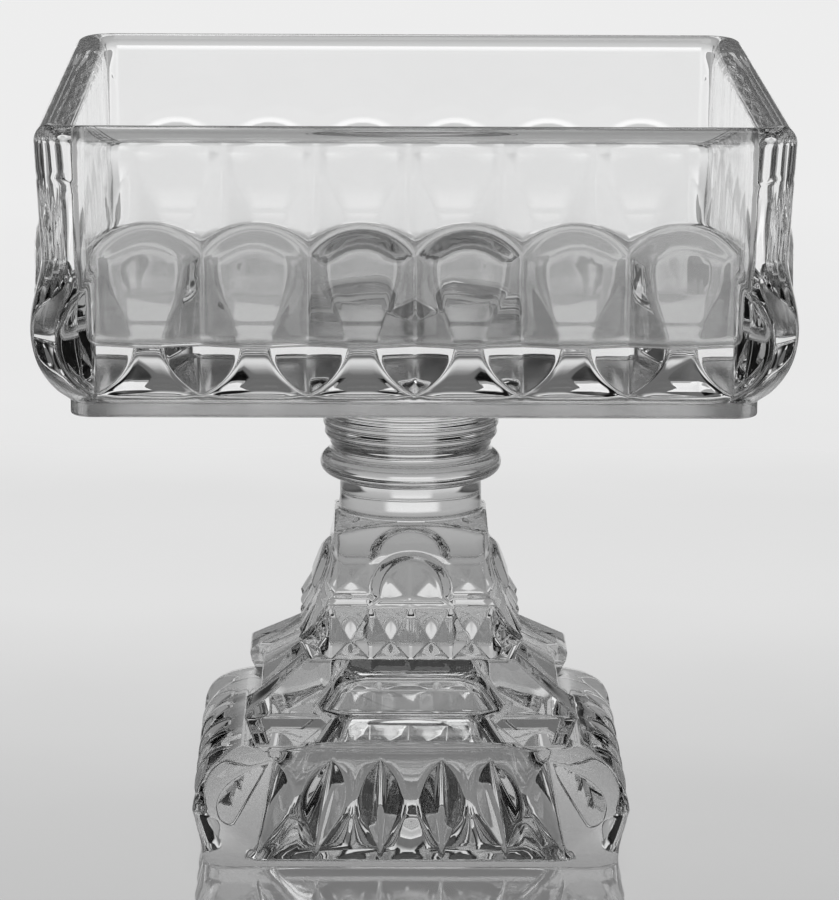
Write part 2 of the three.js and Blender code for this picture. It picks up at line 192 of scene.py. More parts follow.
def new_object(name: str, data: bpy.types.ID) -> bpy.types.Object:
    """Adds an object to the scene.

    Args:
        name: Its name.
        data: Its mesh, lamp or camera.

    Returns:
        The object.
    """
    thing = bpy.data.objects.new(name, data)
    bpy.context.scene.collection.objects.link(thing)
    return thing


def smooth_max(first: Array, second: Array, width: float) -> Array:
    """The larger of two arrays; the crease is rounded where they differ by less than the width."""
    blend = np.maximum(width - np.abs(first - second), 0.0) / width
    return np.maximum(first, second) + blend * blend * width / 4


def smooth_min(first: Array, second: Array, width: float) -> Array:
    """The smaller of two arrays, with the crease between them rounded."""
    return -smooth_max(-first, -second, width)


def smooth_step(value: Array, low: Array | float, high: Array | float) -> Array:
    """Rises smoothly from 0 at low to 1 at high."""
    share = np.clip((value - low) / (high - low), 0.0, 1.0)
    return share * share * (3 - 2 * share)


def rounded_square(x: Array, y: Array, half: Array, corner: Array | float) -> Array:
    """How far points lie outside a rounded square; negative inside."""
    off = np.array([x, y]) - (half - corner)
    return np.hypot(*np.maximum(off, 0.0)) + np.minimum(off.max(axis=0), 0.0) - corner


def between(knots: Array, counts: list[int], crowding: float) -> Array:
    """Places spread between knots, crowded beside each knot.

    Args:
        knots: Rows of rising values.
        counts: How many steps lie between each pair of knots.
        crowding: From 0, even, to 1, most crowded.

    Returns:
        Rows of places, with one more than the sum of counts.
    """
    parts = []
    for at, count in enumerate(counts):
        even = np.arange(count) / count
        share = even + crowding * ((1 - np.cos(math.pi * even)) / 2 - even)
        low, high = knots[:, at : at + 1], knots[:, at + 1 : at + 2]
        parts.append(low + (high - low) * share)
    return np.hstack([*parts, knots[:, -1:]])


class Point(NamedTuple):
    """A point of an outline: its half width, or its radius, and its height."""

    half: float
    z: float


def half_at(line: Array, z: Array | float) -> Array:
    """An outline's half widths at heights."""
    return np.interp(z, line[:, 1], line[:, 0])


def bezier(points: list[Pair | Array], steps: int) -> Array:
    """Points on a quadratic curve.

    Args:
        points: Its start, bend and end.
        steps: Steps along it.

    Returns:
        One row for each point.
    """
    share = np.linspace(0, 1, steps + 1)[:, None]
    start, bend, end = (np.array(point) for point in points)
    return start * (1 - share) ** 2 + bend * 2 * share * (1 - share) + end * share**2


def fillet(before: Pair | Array, at: Pair | Array, after: Pair | Array, size: float, steps: int) -> Array:
    """A rounded corner of an outline.

    Args:
        before: A point before the corner.
        at: The corner.
        after: A point after it.
        size: How far from the corner the rounding starts.
        steps: Steps round it.

    Returns:
        One row for each point.
    """
    ways = [np.array(point) - np.array(at) for point in (before, after)]
    start, end = (np.array(at) + way / np.linalg.norm(way) * size for way in ways)
    return bezier([start, at, end], steps)


@dataclass
class Groove:
    """A V groove down a side, with copies a pitch apart. Its bottom line is straight between two heights.

    Attributes:
        places: Where the bottom line's lower and upper end lie along the side.
        spreads: How far each wall runs sideways per unit of depth, towards the middle and the corner.
        crease: How softly its edges are rounded, as bottom is for its bottom.
        copies: How many there are on each side of it.
    """

    low: Point
    high: Point
    places: Pair
    spreads: Pair
    crease: float
    bottom: float
    pitch: float = 1.0
    copies: int = 0

    def line(self, z: Array) -> tuple[Array, Array]:
        """The bottom line's place along the side and its half width.

        Args:
            z: Heights.

        Returns:
            Both at each height.
        """
        share = (z - self.low.z) / (self.high.z - self.low.z)
        place = self.places[0] + (self.places[1] - self.places[0]) * share
        return place, self.low.half + (self.high.half - self.low.half) * share

    def reach(self, z: Array, half: Array) -> tuple[Array, Array]:
        """How far its two walls run sideways at heights where the side has a half width."""
        depth = np.maximum(half - self.line(z)[1], 0.0)
        return depth * self.spreads[0], depth * self.spreads[1]

    def cut(self, solid: Array, across: Array, y: Array, z: Array) -> Array:
        """Cuts the groove and its copies into both sides that meet at a corner.

        Args:
            solid: Negative inside the uncut glass.
            across: Distances from the middle of the side.
            y: Distances outwards.
            z: Heights.

        Returns:
            Negative numbers inside the cut glass.
        """
        line, half = self.line(z)
        for place, out in ((across, y), (y, across)):
            off = place - np.minimum(np.round(place / self.pitch), self.copies) * self.pitch - line
            rise = np.sqrt((off / np.where(off < 0, *self.spreads)) ** 2 + self.bottom**2) - self.bottom
            solid = smooth_max(solid, out - (half + rise), self.crease)
        return solid


@dataclass
class Fan:
    """Where the columns of one zone start and which way they look for the surface.

    Attributes:
        along: Places along the side from its middle to the corner's pivot, rows by half a side's columns.
        pivot: The corner's pivot, one a row.
        angles: Directions round the corner, rows by columns, 0 being straight out of the side.
    """

    along: Array
    pivot: Array
    angles: Array

    @classmethod
    def spread(cls, knots: list[Array], counts: list[int], edge: Array, land: int = 7) -> "Fan":
        """Columns crowded beside knots along the side and beside the edges of the corner's land.

        Args:
            knots: Places along the side, of which the last is the pivot.
            counts: Steps between them.
            edge: The angle of the land's first edge.
            land: Steps across the land.

        Returns:
            The columns.
        """
        zero = np.zeros_like(edge)
        corner = np.hstack([zero, edge, QUARTER_TURN - edge, zero + QUARTER_TURN])
        angles = between(corner, [6, land, 6], 0.3)[:, 1:-1]
        return cls(between(np.hstack(knots), counts, 0.2), knots[-1], angles)

    def cast(self, z: Array, outside: Surface, far: float) -> Array:
        """Finds the surface along every column.

        Args:
            z: Heights, rows by one, or rows by half a side's columns.
            outside: Takes x, y outwards and z, and is negative inside the glass.
            far: How far out to look from where a column starts.

        Returns:
            A quarter's points.
        """
        side, around = np.hstack([-self.along[:, :0:-1], self.along]), self.angles.shape[1]
        heights = np.broadcast_to(z, self.along.shape)
        all_z = np.hstack([heights[:, :0:-1], heights, np.repeat(heights[:, -1:], around, axis=1)])
        start_x = np.hstack([side, np.repeat(self.pivot, around, axis=1)])
        start_y = np.repeat(self.pivot, start_x.shape[1], axis=1)
        way_x = np.hstack([np.zeros_like(side), np.sin(self.angles)])
        way_y = np.hstack([np.ones_like(side), np.cos(self.angles)])
        near, distant = np.zeros_like(start_x), np.full_like(start_x, far)
        for _ in range(SEARCH_STEPS):
            middle = (near + distant) / 2
            out = outside(start_x + way_x * middle, start_y + way_y * middle, all_z) > 0
            distant, near = np.where(out, middle, distant), np.where(out, near, middle)
        return np.stack([start_x + way_x * near, -(start_y + way_y * near), all_z], axis=-1)


def plain_rows(
    line: Array, corner: Array | float, along: Array, pivot: Array, steps: int, far: float
) -> Array:
    """Rows of plain rounded squares.

    Args:
        line: Half widths and heights.
        corner: The corner's radius, or one a row.
        along: Places along the side, rows by columns.
        pivot: The corner's pivot, one a row.
        steps: Steps round the corner.
        far: How far out from the columns' starts to look.

    Returns:
        A quarter's rows.
    """
    half, z = line[:, :1], line[:, 1:]
    angles = np.repeat(np.linspace(0, QUARTER_TURN, steps + 1)[None, 1:-1], len(z), axis=0)

    def outside(x: Array, y: Array, _: Array) -> Array:
        """Negative inside the rounded square of each row."""
        return rounded_square(np.abs(x), y, half, corner)

    return Fan(along, pivot, angles).cast(z, outside, far)


def whole_turn(quarter: Array) -> Array:
    """Turns one quarter's points to the other three sides and joins them.

    Args:
        quarter: Rows by columns by three, from the start of the side that faces -Y.

    Returns:
        The points all round.
    """
    parts = []
    x, y, z = quarter[..., 0], quarter[..., 1], quarter[..., 2]
    for side in range(SIDES):
        cos, sin = round(math.cos(side * QUARTER_TURN)), round(math.sin(side * QUARTER_TURN))
        parts.append(np.stack([cos * x - sin * y, sin * x + cos * y, z], axis=-1))
    return np.hstack(parts)


def flat_rows(rows: list[Array], z: float) -> Array:
    """Rows of flat points at one height."""
    return np.stack([np.hstack([row, np.full((len(row), 1), z)]) for row in rows])


def disc_rows(edge: Array, radii: tuple[float, ...], z: float) -> Array:
    """Circles on a flat, from the middle out, whose points lie towards those of an edge row."""
    way = edge[:, :2] / np.linalg.norm(edge[:, :2], axis=1, keepdims=True)
    return flat_rows([way * radius for radius in radii], z)


def shrunk_rows(edge: Array, shares: tuple[float, ...], z: float) -> Array:
    """Copies of an edge row drawn in towards the middle on a flat."""
    return flat_rows([edge[:, :2] * share for share in shares], z)


@dataclass
class Rings:
    """Rows of points round a square piece, listed so that the surface's outside is on the right.

    Attributes:
        points: Rows by columns by three, in millimetres, once round the piece.
        weld_rows: Gaps between rows that are welds. Gap -1 lies between the first row and its middle.
    """

    points: Array
    weld_rows: set[int]

    def mesh(self, name: str) -> bpy.types.Mesh:
        """Makes a closed mesh with a point in the middle of both ends.

        Args:
            name: The mesh's name.

        Returns:
            The mesh, smooth shaded, its welds in the second material slot.
        """
        rows, columns = self.points.shape[:2]
        middles = [self.points[row].mean(axis=0) * (0, 0, 1) for row in (0, -1)]
        points = np.vstack([self.points.reshape(-1, 3), middles]) * MM
        column = np.arange(columns)
        following = (column + 1) % columns
        base = (np.arange(rows - 1) * columns)[:, None]
        above, top = base + columns, (rows - 1) * columns
        quads = np.stack([base + column, base + following, above + following, above + column], -1)
        first = np.stack([np.full(columns, rows * columns), following, column], -1)
        last = np.stack([np.full(columns, rows * columns + 1), top + column, top + following], -1)
        faces = [*first.tolist(), *quads.reshape(-1, 4).tolist(), *last.tolist()]
        mesh = bpy.data.meshes.new(name)
        mesh.from_pydata(points.tolist(), [], faces)
        mesh.polygons.foreach_set("use_smooth", np.ones(len(faces), bool))
        slots = np.zeros(rows + 1, int)
        slots[[gap + 1 for gap in self.weld_rows]] = 1
        mesh.polygons.foreach_set("material_index", np.repeat(slots, columns))
        mesh.update()
        return mesh


@dataclass(frozen=True)
class GlassFinish:
    """Clear pressed glass, fire polished. Lengths in metres; each size is how many there are a metre.

    Attributes:
        tints: The darkest and the lightest grey cast.
        warmth: The red in it, as a share of the green and the blue.
        polish: The greatest roughness that uneven polish gives, where its noise is within polish_span.
        dull_top: Height below which the polish is duller.
    """

    name: str
    index: float = 1.5
    tints: Pair = (0.95, 0.99)
    warmth: float = 0.998
    ripple: float = 0.00005
    ripple_size: float = 60.0
    polish: float = 0.03
    polish_size: float = 900.0
    polish_span: Pair = (0.35, 0.8)
    dull_top: float = -1.0
    dull_edge: float = 0.0005
    dull: float = 0.0

    def build(self) -> bpy.types.Material:
        """Makes the material: a clear dielectric with a faint ripple and slightly uneven polish.

        Returns:
            The material.
        """
        material = bpy.data.materials.new(self.name)
        nodes = new_nodes(material)
        place = nodes.add("TexCoord", out="Object")
        slow, fine = nodes.noise(place, self.ripple_size, 2.0), nodes.noise(place, self.polish_size, 3.0)
        rough = nodes.fade(fine, self.polish_span, (0.0, self.polish), Rise.EVEN)
        dull_span = (self.dull_top, self.dull_top + self.dull_edge)
        rough = rough + nodes.fade(nodes.axis(place, "Z"), dull_span, (self.dull, 0.0))
        shade = nodes.fade(slow, (0.0, 1.0), self.tints, Rise.EVEN)
        colour = nodes.add("CombineColor", {}, {0: shade * self.warmth, 1: shade, 2: shade})
        bump = nodes.add("Bump", {}, {"Height": slow, "Distance": self.ripple, "Strength": 1.0})
        sockets = {"Base Color": colour, "Roughness": rough, "IOR": self.index, "Transmission Weight": 1.0}
        shader = nodes.add("BsdfPrincipled", {}, {**sockets, "Normal": bump})
        nodes.add("OutputMaterial", {}, {"Surface": shader})
        return material


def weld_material() -> bpy.types.Material:
    """The inside of a weld, where two pieces have run together and light passes straight on.

    Returns:
        The material.
    """
    material = bpy.data.materials.new("glass_weld")
    nodes = new_nodes(material)
    clear = nodes.add("BsdfTransparent", {}, {"Color": (1.0, 1.0, 1.0, 1.0)})
    nodes.add("OutputMaterial", {}, {"Surface": clear})
    return material


class GlassPiece(ABC):
    """A piece of glass that stands for a CAD node, makes its mesh from rows of points and dresses it."""

    name: ClassVar[str]
    node: ClassVar[str]
    slot: ClassVar[Slot]

    @abstractmethod
    def rings(self) -> Rings:
        """Every row of the piece's surface."""

    def finish(self) -> GlassFinish:
        """The piece's finish."""
        return GlassFinish(self.slot.value)

    def build(self, weld: bpy.types.Material) -> bpy.types.Object:
        """Makes the piece and dresses it.

        Args:
            weld: The material of its welds.

        Returns:
            The piece, riding on the only body.
        """
        piece = new_object(self.name, self.rings().mesh(self.name))
        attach(piece, "root")
        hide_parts(self.node)
        piece.data.materials.append(self.finish().build())
        piece.data.materials.append(weld)
        return piece


@dataclass
class Bowl(GlassPiece):
    """The square bowl with its base plate. Millimetres throughout.

    The tuck is where the roll starts above the plate, the crest its widest line and the waist its end. The
    pillars stand on the roll, and their domed heads reach up the panel between the waist and the rim.
    """

    name = "glass_bowl"
    node = "bowl"
    slot = Slot.BOWL

    base: float = 102.9
    plate: Point = Point(69.85, 106.2)
    plate_corner: float = 4.0
    plate_edge: float = 0.9
    plate_dull: float = 0.22
    plate_dull_drop: float = 0.4
    tuck: Point = Point(72.75, 107.9)
    tuck_fillet: float = 0.5
    crest: Point = Point(77.8, 121.4)
    waist: Point = Point(75.4, 136.1)
    rim: Point = Point(76.6, 159.4)
    rim_radius: float = 3.8
    rim_height: float = 3.66
    corner: float = 8.0
    cavity_corner: float = 2.5
    cavity_draft: float = 1.2
    floor: float = 117.7
    floor_fillet: float = 3.0
    pitch: float = 21.4
    pillars: int = 6
    groove_spread: float = 2.05
    groove_heights: Pair = (108.2, 133.2)
    groove_round: float = 0.25
    groove_reach: Pair = (1.6, 8.6)
    land_angles: Pair = (0.15, 0.65)
    pivot_gap: float = 1.8
    arch_radius: float = 12.33
    arch_top: float = 143.5
    arch_border: Pair = (-1.9, 0.5)
    head_half: float = 77.3
    head_stand: float = 2.1
    head_border: float = 4.6
    head_curve: float = 1.5
    head_blend: float = 1.2
    head_end: float = 3.0
    head_end_depth: float = 4.0
    weld_radius: float = 23.1
    crease: float = 0.3

    def finish(self) -> GlassFinish:
        """Clear glass whose base plate is a little dull."""
        top = (self.plate.z - self.plate_dull_drop) * MM
        return GlassFinish(self.slot.value, dull_top=top, dull=self.plate_dull)

    def half_row(self) -> float:
        """From the middle of a side to its last groove."""
        return self.pitch * self.pillars / 2

    def pivot(self) -> float:
        """The corner's pivot, just beyond the last groove."""
        return self.half_row() + self.pivot_gap

    def pillar_middle(self, along: Array) -> Array:
        """The middle of the pillar that holds each place along the side."""
        return (np.floor(np.minimum(along, self.half_row() - 0.01) / self.pitch) + 0.5) * self.pitch

    def outline(self, z: Array) -> Array:
        """The side's shape from the tuck up to the rim.

        Args:
            z: Heights.

        Returns:
            The half width at each.
        """
        tuck, crest, waist, rim = self.tuck, self.crest, self.waist, self.rim
        radius = ((crest.half - tuck.half) ** 2 + (crest.z - tuck.z) ** 2) / 2
        radius /= crest.half - tuck.half
        low = crest.half - radius + np.sqrt(radius**2 - np.clip(crest.z - z, 0.0, radius) ** 2)
        swing = np.cos(math.pi * np.clip((z - crest.z) / (waist.z - crest.z), 0, 1))
        roll = waist.half + (crest.half - waist.half) * (1 + swing) / 2
        flare = (rim.half - waist.half) * np.clip((z - waist.z) / (rim.z - waist.z), 0, 1)
        return np.where(z < crest.z, low, roll + flare)

    def groove(self) -> Groove:
        """The V grooves of a side: the middle one, with its copies."""
        low, high = (Point(float(self.outline(np.array(z))), z) for z in self.groove_heights)
        return Groove(low, high, (0.0, 0.0), (self.groove_spread, self.groove_spread), self.crease,
                      self.groove_round, self.pitch, self.pillars // 2)

    def head(self, along: Array, y: Array, z: Array) -> Array:
        """The domed heads that stand out from the panel.

        Args:
            along: Distances from the middle of the side.
            y: Distances outwards.
            z: Heights.

        Returns:
            Negative numbers inside them.
        """
        middle, spring = self.pillar_middle(along), self.arch_top - self.arch_radius
        round_edge = self.arch_radius - np.hypot(along - middle, z - spring)
        side_edge = self.pitch / 2 - np.abs(along - middle)
        inside = np.where(z > spring, np.minimum(round_edge, side_edge), side_edge)
        share = np.clip(1 - inside / self.head_border, 0.0, None)
        low = self.head_end_depth * smooth_step(self.crest.z + self.head_end - z, 0.0, self.head_end)
        return y - self.head_half + (self.head_stand * share**self.head_curve + low)

    def outside(self, x: Array, y: Array, z: Array) -> Array:
        """The carved part of the bowl's outside, negative inside the glass."""
        plain, heads = rounded_square(np.abs(x), y, self.outline(z), self.corner), self.head(np.abs(x), y, z)
        return self.groove().cut(smooth_min(plain, heads, self.head_blend), np.abs(x), y, z)

    def column_counts(self) -> list[int]:
        """Steps between the column knots of half a side."""
        groove = [2, 3, 2, 2, 3, 2]
        return [*groove[3:], 9, *([*groove, 9] * (self.pillars // 2 - 1)), *groove[:4], 2]

    def columns(self, z: Array) -> Fan:
        """Columns that follow the grooves' bottoms and the lands' edges.

        Args:
            z: Heights, one a row.

        Returns:
            The columns.
        """
        wide = np.clip(self.groove().reach(z, self.outline(z))[0], *self.groove_reach)
        around = [-wide - 0.6, -wide + 0.5, -0.5, 0.0, 0.5, wide - 0.5, wide + 0.6]
        lines = range(self.pillars // 2 + 1)
        knots = [line * self.pitch + off + np.zeros_like(z) for line in lines for off in around][3:-2]
        pivot = np.full_like(z, self.pivot())
        edge = np.arctan2(self.half_row() + wide - pivot, self.outline(z) - pivot)
        return Fan.spread([*knots, pivot], self.column_counts(), np.clip(edge, *self.land_angles), 8)

    def carved(self) -> Array:
        """The rows of the roll, the pillars and the arches.

        Returns:
            A quarter's rows.
        """
        low = np.linspace(self.tuck.z, self.waist.z - 2, 56)[:, None]
        upper = self.columns(np.full((22, 1), self.waist.z))
        inside = np.minimum(upper.along[:1], self.half_row() - 0.01)
        drop = np.sqrt(self.arch_radius**2 - (inside - self.pillar_middle(inside)) ** 2)
        arch = self.arch_top - self.arch_radius + drop
        start, end = np.full_like(arch, self.waist.z - 2), np.full_like(arch, self.rim.z - 8)
        knots = np.vstack([start, arch + self.arch_border[0], arch + self.arch_border[1], end]).T
        high = upper.cast(between(knots, [4, 9, 8], 0.0).T, self.outside, 30.0)
        return np.vstack([self.columns(low).cast(low, self.outside, 30.0), high[1:]])

    def plain(self, line: Array, corners: Array, carved: Array) -> Array:
        """Rows without grooves, on the columns of a carved row.

        Args:
            line: Half widths and heights.
            corners: The corner radius at each.
            carved: The carved row whose columns these follow.

        Returns:
            A quarter's rows.
        """
        side = sum(self.column_counts())
        pivot = np.minimum(self.pivot(), line[:, :1] - corners[:, None] * 0.35)
        along = carved[None, side : 2 * side + 1, 0] * pivot / self.pivot()
        return plain_rows(line, corners[:, None], along, pivot, 20, 90.0)

    def inside_line(self, start: float) -> tuple[Array, Array]:
        """The outline from the panel over the rim down to the floor.

        Args:
            start: The height where it starts on the panel.

        Returns:
            Half widths and heights, and the corner's radius at each.
        """
        rim, middle = self.rim.z, self.rim.half - self.rim_radius
        cavity, turn = middle - self.rim_radius, np.linspace(0, math.pi, 27)
        panel = np.array([(float(self.outline(np.array(z))), z) for z in np.linspace(start, rim, 7)[1:-1]])
        top = np.stack([middle + self.rim_radius * np.cos(turn), rim + self.rim_height * np.sin(turn)], -1)
        wall_z = np.linspace(rim, self.floor + self.floor_fillet, 12)[1:-1]
        wall = np.stack([cavity - self.cavity_draft * ((rim - wall_z) / (rim - self.floor)), wall_z], -1)
        foot = (cavity - self.cavity_draft, self.floor)
        bend = fillet((foot[0], rim), foot, (0, self.floor), self.floor_fillet, 9)
        line = np.vstack([panel, top, wall, bend])
        stages = [len(panel), len(panel) + len(top)]
        return line, np.interp(np.arange(len(line)), stages, [self.corner, self.cavity_corner])

    def rings(self) -> Rings:
        """All rows, from the weld under the plate to the middle of the floor.

        Returns:
            The bowl's rows.
        """
        carved, edge = self.carved(), (self.plate.half, self.base)
        plate = np.vstack([fillet((0, self.base), edge, self.plate, self.plate_edge, 6),
                           fillet(edge, self.plate, self.tuck, self.tuck_fillet, 4)])
        low = self.plain(plate, np.full(len(plate), self.plate_corner), carved[0])
        high = self.plain(*self.inside_line(carved[-1, 0, 2]), carved[-1])
        rows = whole_turn(np.vstack([low, carved, high]))
        under = disc_rows(rows[0], (8.0, self.weld_radius, self.weld_radius + 2, 34.0, 46.0), self.base)
        square = shrunk_rows(rows[0], (0.84, 0.93, 0.985), self.base)
        floor = shrunk_rows(rows[-1], (0.985, 0.93, 0.8, 0.5, 0.2), self.floor)
        return Rings(np.vstack([under, square, rows, floor]), {-1, 0})


@dataclass
class StemCollar(GlassPiece):
    """The turned collar of neck, bead, cove and ringed bell. Millimetres throughout."""

    name = "glass_collar"
    node = "stem_collar"
    slot = Slot.COLLAR

    foot: Point = Point(16.0, 69.0)
    foot_fillet: float = 0.6
    neck_radius: float = 15.4
    neck_start: float = 3.8
    bead: float = 79.1
    bead_radius: float = 2.5
    cove: Point = Point(17.2, 82.9)
    shoulder: Point = Point(19.1, 87.8)
    bell_top: float = 95.8
    top: Point = Point(23.1, 102.9)
    ring_count: int = 5
    ring_depth: float = 0.3
    turns: int = 192

    def bell(self) -> Array:
        """The bell between the cove and the flare, with its faint turning rings.

        Returns:
            Radii and heights.
        """
        radius = self.shoulder.half
        swell = bezier([self.cove, (radius, (self.cove.z + self.shoulder.z) / 2), self.shoulder], 36)
        wall = np.stack([np.full(48, radius), np.linspace(self.shoulder.z, self.bell_top, 49)[1:]], -1)
        turned = np.vstack([swell[1:], wall])
        start, end = turned[0, 1], turned[-1, 1]
        rings = np.sin(math.pi * (turned[:, 1] - start) / (end - start) * self.ring_count) ** 2
        turned[:, 0] -= self.ring_depth * rings
        return turned

    def outline(self) -> Array:
        """The profile from the weld on the shaft to the weld under the plate.

        Returns:
            Radii and heights.
        """
        turn = np.linspace(-QUARTER_TURN, QUARTER_TURN, 25)
        bead = np.stack([self.cove.half + self.bead_radius * np.cos(turn),
                         self.bead + self.bead_radius * np.sin(turn)], -1)
        low, high = self.bead - self.bead_radius, self.bead + self.bead_radius
        neck, foot, bell = self.neck_radius, self.foot.z, self.shoulder.half
        return np.vstack([
            bezier([self.foot, (neck, foot + self.foot_fillet), (neck, foot + self.neck_start)], 10),
            bezier([(neck, low - 1.0), (neck, low), bead[3]], 6),
            bead[4:-4],
            bezier([bead[-4], (self.cove.half + 0.1, high + 0.1), self.cove], 6),
            self.bell(),
            bezier([(bell, self.bell_top), (bell, self.top.z), self.top], 16)[1:],
        ])

    def rings(self) -> Rings:
        """All rows, from the middle of the lower weld to the middle of the upper one.

        Returns:
            The collar's rows.
        """
        foot, top = self.foot.z, self.top.z
        line = np.vstack([[(4.0, foot), (10.0, foot)], self.outline(), [(16.0, top), (8.0, top)]])
        radii, z = line[:, :1], line[:, 1:]
        angle = np.arange(self.turns) / self.turns * math.tau
        points = np.stack([radii * np.sin(angle), -radii * np.cos(angle), np.repeat(z, self.turns, 1)], -1)
        last = len(line) - 1
        return Rings(points, {-1, 0, 1, last, last - 1, last - 2})


@dataclass
class PedestalFoot(GlassPiece):
    """The pressed pedestal: foot, plinth block, cushion and flared shaft. Millimetres throughout.

    Each groove place holds the place at the band, that at the top and how far the outer wall spreads. The
    panel line holds heights and half widths of the plinth's sunk panel.
    """

    name = "glass_foot"
    node = "pedestal_foot"
    slot = Slot.FOOT

    base: Point = Point(44.3, 0.0)
    band: Point = Point(44.6, 3.5)
    crest: Point = Point(46.6, 11.9)
    top: Point = Point(36.0, 23.4)
    shoulder_drop: float = 2.875
    corner: float = 6.0
    groove_places: tuple[tuple[float, float, float], ...] = (
        (6.5, 6.5, 0.93), (20.2, 16.8, 0.93), (32.4, 29.1, 2.1))
    groove_spread: float = 0.93
    groove_top_drop: float = 1.0
    groove_round: float = 0.15
    groove_reach: Pair = (0.8, 5.6)
    corner_reach: Pair = (1.4, 12.0)
    land_angles: Pair = (0.12, 0.62)
    plinth_base_half: float = 33.3
    plinth_edge: Point = Point(35.7, 31.0)
    plinth_top: Point = Point(22.45, 39.9)
    plinth_corner: float = 0.8
    panel_setback: float = 3.0
    panel_soft: float = 0.3
    panel_line: Stops = ((23.4, 23.9), (29.3, 17.5), (32.3, 20.7), (39.9, 12.9))
    cushion: Point = Point(24.3, 44.6)
    cushion_corner: float = 2.0
    cushion_pitch: float = 8.65
    cushion_spread: float = 1.7
    cushion_groove_gap: float = 0.3
    ledge: Point = Point(20.7, 51.3)
    shaft_base: Point = Point(20.2, 52.9)
    shaft_bend: Point = Point(16.91, 58.05)
    shaft_top: Point = Point(16.5, 69.0)
    shaft_corner: float = 3.0
    tongue_rise: float = 9.8
    tongue_crown: float = 6.5
    tongue_foot: float = 8.1
    tongue_border: float = 2.0
    tongue_bevel: float = 1.6
    tongue_stands: Pair = (1.6, 1.3)
    tongue_crease: float = 0.5
    tongue_blend: float = 0.6
    shoulder_slope: float = 0.36
    shoulder_crease: float = 0.4
    weld_radius: float = 16.0
    hollow_mouth: float = 35.0
    hollow: Point = Point(15.5, 31.0)
    hollow_round: float = 4.0
    hollow_corner: float = 5.0
    crease: float = 0.35
    corner_steps: int = 19

    def foot_line(self) -> Array:
        """The foot's outline with its creases rounded.

        Returns:
            Half widths and heights.
        """
        shoulder = bezier([self.crest, (self.crest.half, self.top.z - self.shoulder_drop), self.top], 24)
        return np.vstack([
            fillet((0.0, 0.0), self.base, self.band, 0.5, 5),
            fillet(self.base, self.band, self.crest, 0.5, 4),
            fillet(self.band, self.crest, shoulder[2], 0.7, 6),
            shoulder[3:-1],
            fillet(shoulder[-2], shoulder[-1], (0.0, self.top.z), 0.5, 5),
        ])

    def upper_line(self) -> Array:
        """The outline from the plinth's top to the shaft's top.

        Returns:
            Half widths and heights.
        """
        flare = bezier([self.shaft_base, self.shaft_bend, self.shaft_top], 24)
        return np.vstack([
            self.plinth_top,
            fillet(self.plinth_top, self.cushion, self.ledge, 0.6, 6),
            fillet(self.cushion, self.ledge, self.shaft_base, 0.3, 4),
            fillet(self.ledge, self.shaft_base, flare[2], 0.3, 4),
            flare[1:-1],
            fillet(flare[-2], flare[-1], (0.0, self.shaft_top.z), 0.4, 4),
        ])

    def grooves(self) -> list[Groove]:
        """The foot's grooves from the middle of a side to its corner.

        Returns:
            The grooves.
        """
        top = self.top.z - self.groove_top_drop
        high = Point(float(half_at(self.foot_line(), top)), top)
        return [
            Groove(self.band, high, (low, up), (self.groove_spread, wide), self.crease, self.groove_round)
            for low, up, wide in self.groove_places
        ]

    def foot_rows(self) -> Array:
        """The rows of the ribbed foot, from the table to its top.

        Returns:
            A quarter's rows.
        """
        line, grooves, crest = self.foot_line(), self.grooves(), self.crest.z
        bends = [line[0, 1], line[5, 1], crest - 4, crest, crest + 5, line[-6, 1], line[-1, 1]]
        z = between(np.array([bends]), [5, 10, 14, 16, 18, 6], 0.3).T
        half, knots = half_at(line, z), [np.zeros_like(z)]
        for groove in grooves:
            place, (inner, outer) = groove.line(z)[0], groove.reach(z, half)
            wide = np.clip(inner, *self.groove_reach)
            knots += [place - wide, place, place + wide]
        pivot, corner = place + 1.2, place + np.clip(outer, *self.corner_reach)
        edge = np.clip(np.arctan2(corner - pivot, half - pivot), *self.land_angles)
        fan = Fan.spread([*knots[:-1], pivot], [2, 5, 5, 2, 5, 5, 3, 9, 2], edge)

        def outside(x: Array, y: Array, height: Array) -> Array:
            """Negative inside the grooved foot."""
            solid = rounded_square(np.abs(x), y, half_at(line, height), self.corner)
            return reduce(lambda cut, groove: groove.cut(cut, np.abs(x), y, height), grooves, solid)

        return fan.cast(z, outside, 40.0)

    def plinth_rows(self) -> Array:
        """The rows of the plinth block with its sunk panels.

        Returns:
            A quarter's rows.
        """
        base, edge, top = (self.plinth_base_half, self.top.z), self.plinth_edge, self.plinth_top
        line = np.vstack([base, fillet(base, edge, top, 0.7, 6), top])
        levels, border = np.array(self.panel_line).T
        bends = [self.top.z + 0.02, levels[1], edge.z, levels[2], top.z - 0.02]
        z = between(np.array([bends]), [12, 8, 8, 16], 0.1).T
        side, half = np.interp(z, levels, border), half_at(line, z)
        pivot = side + 1.4
        angle = np.arctan2(half - self.plinth_corner - pivot, half - pivot)
        fan = Fan.spread([np.zeros_like(z), side - 0.35, side + 0.35, pivot], [29, 6, 3], angle)

        def outside(x: Array, y: Array, height: Array) -> Array:
            """Negative inside the block."""
            half, past = half_at(line, height), np.abs(x) - np.interp(height, levels, border)
            sunk = self.panel_setback * (1 - smooth_step(past, -self.panel_soft, self.panel_soft))
            return np.maximum(rounded_square(np.abs(x), y, half, self.plinth_corner), y - half + sunk)

        return fan.cast(z, outside, 40.0)

